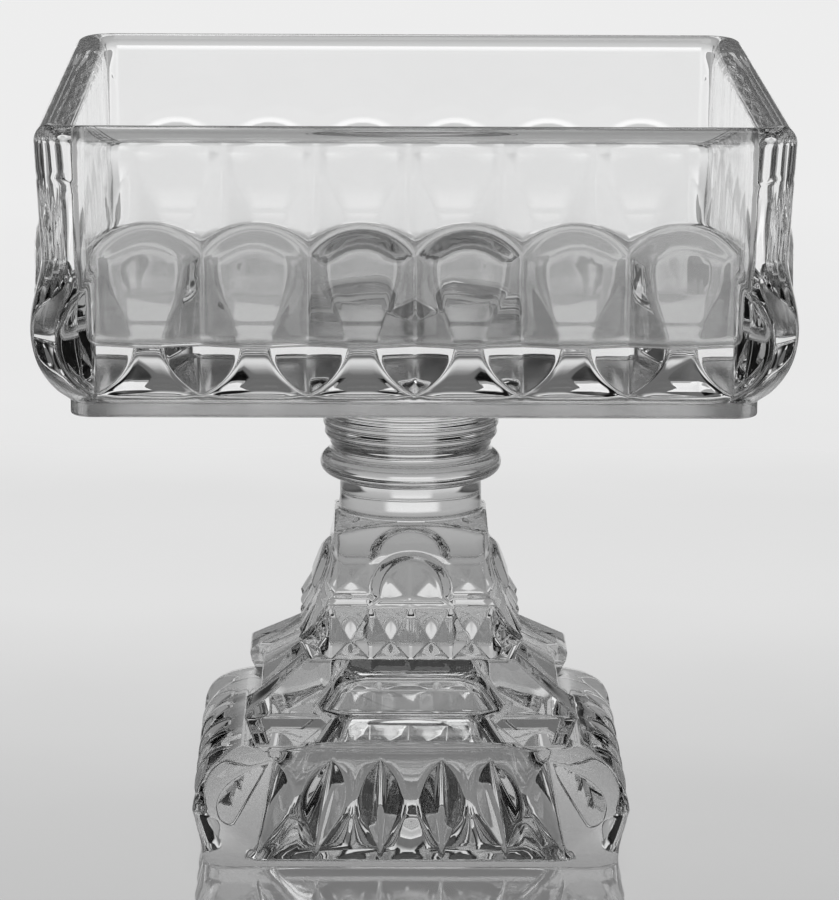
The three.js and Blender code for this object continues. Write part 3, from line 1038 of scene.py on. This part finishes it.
    def tongue(self, x: Array, y: Array, z: Array) -> Array:
        """The bevelled arch plate that leans on the shaft.

        Args:
            x: Places along the side.
            y: Distances outwards.
            z: Heights.

        Returns:
            Negative numbers inside it.
        """
        base, ledge, border = self.shaft_base, self.ledge.z, self.tongue_border
        top = base.z + self.tongue_rise
        foot = base.half + self.tongue_stands[0]
        head = float(half_at(self.upper_line(), top)) + self.tongue_stands[1]
        front = foot + (head - foot) * (z - base.z) / self.tongue_rise
        spring = top - border - self.tongue_crown
        wide = np.interp(z, [self.cushion.z, spring], [self.tongue_foot, self.tongue_crown])
        over = np.where(z > spring, np.hypot(x, z - spring) - self.tongue_crown, np.abs(x) - wide)
        slope = self.tongue_bevel / border
        low = (ledge + border - z) * slope
        bevel = smooth_max(y - front + over * slope, y - front + low, self.tongue_crease)
        edge = smooth_max((over - border) * 3, ledge - z, 0.3)
        return smooth_max(smooth_max(y - front, bevel, self.tongue_crease), edge, 0.3)

    def shaft_share(self, z: Array) -> Array:
        """Rises from 0 on the cushion to 1 on the shaft."""
        return smooth_step(z, self.ledge.z - 1, self.shaft_base.z)

    def upper_corner(self, z: Array) -> Array:
        """The corner's radius on the cushion and the shaft."""
        return self.cushion_corner + (self.shaft_corner - self.cushion_corner) * self.shaft_share(z)

    def upper_rows(self) -> Array:
        """The rows of the cushion and the shaft.

        Returns:
            A quarter's rows.
        """
        line, gap, low, ledge = self.upper_line(), self.cushion_groove_gap, self.plinth_top, self.ledge
        bends = [low.z + 0.02, self.cushion.z, ledge.z, self.shaft_base.z, 64.0, line[-1, 1]]
        z = between(np.array([bends]), [16, 22, 8, 34, 12], 0.25).T
        half = half_at(line, z)
        groove = Groove(Point(low.half, low.z + gap), Point(ledge.half, ledge.z - gap), (0.0, 0.0),
                        (self.cushion_spread,) * 2, self.crease, self.groove_round, self.cushion_pitch, 2)
        wide = np.clip(groove.reach(z, half)[0], 1.2, self.cushion_pitch / 2 - 0.25)
        shaft = self.shaft_share(z)
        pitch = self.cushion_pitch + (np.minimum(half - 4.6, 16.0) / 2 - self.cushion_pitch) * shaft
        wide = wide + (pitch / 2 - 0.25 - wide) * shaft
        pivot = 2 * pitch + 0.9 - 0.4 * shaft
        knots = [0 * z, wide, pitch - wide, pitch, pitch + wide, 2 * pitch - wide, 2 * pitch, pivot]
        square = half - self.upper_corner(z) - pivot
        edge = np.arctan2(np.maximum(square, 0.12 * (half - pivot)), half - pivot)

        def outside(x: Array, y: Array, height: Array) -> Array:
            """The cushion, the shaft and the tongues.

            Args:
                x: Places along the side.
                y: Distances outwards.
                height: Heights.

            Returns:
                Negative numbers inside them.
            """
            across = np.abs(x)
            solid = rounded_square(across, y, half_at(line, height), self.upper_corner(height))
            shoulder = (np.hypot(across, y) - self.weld_radius) * self.shoulder_slope
            solid = smooth_max(solid, shoulder - (self.shaft_top.z - height), self.shoulder_crease)
            solid = smooth_min(solid, self.tongue(x, y, height), self.tongue_blend)
            return np.where(height < ledge.z - 0.2, groove.cut(solid, across, y, height), solid)

        return Fan.spread(knots, [8, 2, 8, 8, 2, 8, 2], edge).cast(z, outside, 30.0)

    def hollow_rows(self, shares: Array) -> Array:
        """The rows of the plunger's hollow, from its ceiling down to the table.

        Args:
            shares: The neighbouring zone's columns, as shares of its pivot.

        Returns:
            A quarter's rows.
        """
        half, top = self.hollow
        taper, low = (self.hollow_mouth - half) / top, top - self.hollow_round
        shoulder = (half + taper * self.hollow_round, low)
        bend = bezier([(half - self.hollow_round + 0.5, top), (half + 0.8, top), shoulder], 12)
        wall = np.linspace(shoulder, (self.hollow_mouth, 0.0), 14)[1:-1]
        line = np.vstack([bend, wall, fillet(wall[-1], (self.hollow_mouth, 0.0), self.base, 0.5, 4)])
        pivot = line[:, :1] - self.hollow_corner * 0.8
        return plain_rows(line, self.hollow_corner, shares[None, :] * pivot, pivot, self.corner_steps, 20.0)

    def rings(self) -> Rings:
        """All rows, from the hollow's ceiling round the foot and up to the weld on the shaft.

        Returns:
            The pedestal's rows.
        """
        foot = self.foot_rows()
        side = (foot.shape[1] - self.corner_steps + 1) // 2
        along = foot[0, side : 2 * side + 1, 0]
        hollow = self.hollow_rows(along / along[-1])
        rows = whole_turn(np.vstack([hollow, foot, self.plinth_rows(), self.upper_rows()]))
        ceiling = shrunk_rows(rows[0], (0.2, 0.5, 0.8), self.hollow.z)
        weld = disc_rows(rows[-1], (self.weld_radius, 10.0, 4.0), self.shaft_top.z)
        last = len(ceiling) + len(rows)
        return Rings(np.vstack([ceiling, rows, weld]), {last, last + 1, last + 2})


@dataclass(frozen=True)
class TableTop:
    """A pale table whose glow is painted light: bright behind the object, darker towards the camera. Metres.

    The levels, a painted falloff of light, go from front to back over the reach. The object stands in a
    painted pool of light that widens over the pool's depth, and a painted shadow darkens the table under the
    foot. An evenly pale plain floor starts beside it and before it. How bright that floor is for light that
    comes by way of the glass is painted shade, darker than the camera sees it.
    """

    half: float = 6.0
    # Painted falloff of light: the glow's levels, dim at the front and bright behind the object.
    levels: Stops = ((0.0, 0.1), (0.122, 0.16), (0.153, 0.2), (0.196, 0.3), (0.245, 0.42), (0.306, 0.475),
                     (0.338, 0.555), (0.375, 0.605), (0.571, 0.73), (0.88, 0.75), (1.0, 0.75))
    reach: Pair = (-0.3, 1.7)
    fleck: float = 0.02
    fleck_size: float = 14.0
    # A painted pool of light round the object: its depth, its half widths, its soft edge and its front edge.
    light_pool_depth: Pair = (0.3, 0.8)
    light_pool_half: Pair = (0.16, 0.6)
    light_pool_edge: Pair = (0.02, 0.03)
    light_pool_front: Pair = (-0.16, -0.09)
    # A painted shadow under the foot: inside its footprint the glow is dimmed to this level.
    under: Pair = (0.041, 0.05)
    painted_foot_shadow_level: float = 0.9
    beside: Pair = (0.13, 0.3)
    before: Pair = (-0.3, -0.09)
    plain: float = 0.75
    # Painted shade: for light that comes by way of the glass, the floor beside and before the object is
    # dimmer than the camera sees it.
    far: Pair = (0.38, 0.75)
    painted_floor_shade: Pair = (0.1, 0.38)
    matte: float = 0.3
    shine: float = 0.5
    shine_roughness: float = 0.06

    def glow(self, nodes: Nodes) -> tuple[Socket, Socket]:
        """Works out the table's glow: its painted light and shade, and its evenly pale floor.

        Args:
            nodes: The material's nodes.

        Returns:
            The glow, and the painted falloff level that its colour follows.
        """
        place = nodes.add("TexCoord", out="Object")
        across, away = nodes.axis(place, "X").size(), nodes.axis(place, "Y")
        seen = nodes.add("LightPath", out="Is Camera Ray")
        fleck = nodes.noise(place, self.fleck_size, 4.0)
        run = nodes.fade(away, self.reach, (0.0, 1.0), Rise.EVEN)
        level = nodes.ramp(run + (fleck - 0.5) * self.fleck, self.levels)
        # Painted pool of light: the glow that the glass sees is cut to a strip that widens towards the back.
        edge = nodes.fade(away, self.light_pool_depth, self.light_pool_half, Rise.EVEN)
        light_pool = nodes.fade(across, (edge - self.light_pool_edge[0], edge + self.light_pool_edge[1]), (1.0, 0.0))
        near = nodes.fade(away, self.light_pool_front)
        # Painted shadow: the table is darker under the foot, for the camera and for the glass.
        under = nodes.fade(across.larger(away.size()), self.under, (self.painted_foot_shadow_level, 1.0))
        floor = nodes.fade(across, self.beside).larger(nodes.fade(away, self.before, (1.0, 0.0)))
        plain = level + floor * (self.plain - level)
        # Painted shade of the plain floor, as the glass sees it.
        far = nodes.fade(across.larger(0.0 - away), self.far, self.painted_floor_shade)
        # The glass sees the painted falloff in the painted pool and the plain floor's painted shade.
        lit = level * light_pool * near + floor * far
        # The camera sees the falloff and the plain floor; the painted foot shadow darkens both.
        return (lit + seen * (plain - lit)) * under, level

    def build(self) -> None:
        """Makes the table, which keeps the object's shadow; its glow carries painted light and shade."""
        mesh = bpy.data.meshes.new("table")
        corners = [(x * self.half, y * self.half, 0) for x, y in ((-1, -1), (1, -1), (1, 1), (-1, 1))]
        mesh.from_pydata(corners, [], [(0, 1, 2, 3)])
        table = new_object("table", mesh)
        material = bpy.data.materials.new("table_top")
        nodes = new_nodes(material)
        painted_table_light, level = self.glow(nodes)
        # An emission of painted light and shade, over an evenly pale floor beside the object.
        glow = nodes.add("Emission", {}, {"Color": painted_table_light, "Strength": 1.0})
        # Its colour follows the painted falloff, so it is painted shade too; the lamp's real shadow falls on
        # it.
        matte = nodes.add("BsdfDiffuse", {}, {"Color": level * self.matte})
        shine = {"Color": (self.shine, self.shine, self.shine, 1.0), "Roughness": self.shine_roughness}
        mirror = nodes.add("BsdfGlossy", {}, shine)
        both = nodes.add("AddShader", {}, {0: glow, 1: matte})
        both = nodes.add("AddShader", {}, {0: both, 1: mirror})
        nodes.add("OutputMaterial", {}, {"Surface": both})
        mesh.materials.append(material)


@dataclass(frozen=True)
class Surroundings:
    """A pale window low behind the object, a faint light above it and one high in front.

    Each has levels by height, which is a part of a direction of length 1. A half is where the sides fade, as
    sideways over behind. The backdrop is what the camera sees.
    """

    window: Stops = ((0.0, 0.15), (0.16, 0.15), (0.2, 0.35), (0.24, 0.62), (0.262, 0.72), (0.3, 0.8),
                     (0.315, 0.8), (0.335, 0.0))
    window_half: Pair = (0.16, 0.24)
    above: Stops = ((0.32, 0.0), (0.4, 0.05), (0.75, 0.06), (0.85, 0.0))
    above_half: Pair = (0.5, 1.2)
    front: Stops = ((0.5, 0.0), (0.6, 0.25), (0.78, 0.25), (0.86, 0.0))
    front_start: Pair = (-0.4, -0.2)
    backdrop: float = 0.8

    def build(self) -> None:
        """Makes the scene's world."""
        world = bpy.data.worlds.new("surroundings")
        bpy.context.scene.world = world
        nodes = new_nodes(world)
        way = nodes.add("TexCoord", out="Generated")
        behind, height = nodes.axis(way, "Y"), nodes.axis(way, "Z")
        seen = nodes.add("LightPath", out="Is Camera Ray")
        turn = nodes.axis(way, "X").size() / behind.larger(0.001)
        window = nodes.ramp(height, self.window) * nodes.fade(turn, self.window_half, (1.0, 0.0))
        above = nodes.ramp(height, self.above) * nodes.fade(turn, self.above_half, (1.0, 0.0))
        front = nodes.ramp(height, self.front) * nodes.fade(behind, self.front_start, (1.0, 0.0))
        level = window + above + front
        level = level + seen * (self.backdrop - level)
        glow = nodes.add("Background", {}, {"Color": level, "Strength": 1.0})
        nodes.add("OutputWorld", {}, {"Surface": glow})


@dataclass
class Studio:
    """The table, the light round the object and the camera. Metres.

    The camera looks down by its pitch, to the right by its turn and leans by its roll, in degrees. Its lens
    and its sensor are in millimetres. The lamp's aim is the height over the table that it faces.
    """

    camera_place: tuple[float, float, float] = (-0.0105, -1.016, 0.301)
    pitch: float = 12.2
    turn: float = 0.7
    roll: float = 0.3
    lens: float = 204.6
    sensor: float = 36.0
    lamp_place: tuple[float, float, float] = (-0.3, 0.5, 1.6)
    lamp_size: float = 1.0
    lamp_power: float = 4.0
    lamp_aim: float = 0.08
    bounces: int = 40
    mirror_bounces: int = 24

    def camera(self) -> None:
        """Sets the scene's camera."""
        data = bpy.data.cameras.new("camera")
        data.lens, data.sensor_width, data.sensor_fit = self.lens, self.sensor, "HORIZONTAL"
        data.clip_end = 50.0
        camera = new_object("camera", data)
        camera.location = self.camera_place
        look = Vector((0.0, 1.0, 0.0)).to_track_quat("-Z", "Y")
        swing = Euler((math.radians(-self.pitch), 0.0, math.radians(-self.turn)), "XYZ").to_quaternion()
        lean = Quaternion((0.0, 0.0, 1.0), math.radians(self.roll))
        camera.rotation_euler = (swing @ look @ lean).to_euler()
        bpy.context.scene.camera = camera

    def lamp(self) -> None:
        """Adds a soft square lamp that faces the object."""
        data = bpy.data.lights.new("lamp_above", "AREA")
        data.size, data.energy = self.lamp_size, self.lamp_power
        lamp = new_object("lamp_above", data)
        lamp.location = self.lamp_place
        way = Vector((0.0, 0.0, self.lamp_aim)) - Vector(self.lamp_place)
        lamp.rotation_euler = way.to_track_quat("-Z", "Y").to_euler()

    def build(self) -> None:
        """Builds the table, the light and the camera."""
        TableTop().build()
        Surroundings().build()
        self.lamp()
        self.camera()
        scene = bpy.context.scene
        scene.view_settings.view_transform = "Standard"
        scene.cycles.max_bounces = self.bounces
        scene.cycles.transmission_bounces = self.bounces
        scene.cycles.glossy_bounces = self.mirror_bounces
        scene.cycles.transparent_max_bounces = self.mirror_bounces


def report(piece: bpy.types.Object) -> None:
    """Logs a piece's faces and its two corners."""
    low, high = ([round(end(axis), 5) for axis in zip(*piece.bound_box)] for end in (min, max))
    log.info("%s: %d faces, %s to %s", piece.name, len(piece.data.polygons), low, high)


def main() -> None:
    """Builds every piece in order, then the studio."""
    logging.basicConfig(level=logging.INFO, format="%(message)s")
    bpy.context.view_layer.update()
    weld = weld_material()
    for part in (Bowl(), StemCollar(), PedestalFoot()):
        report(part.build(weld))
    Studio().build()


if __name__ == "__main__":
    main()
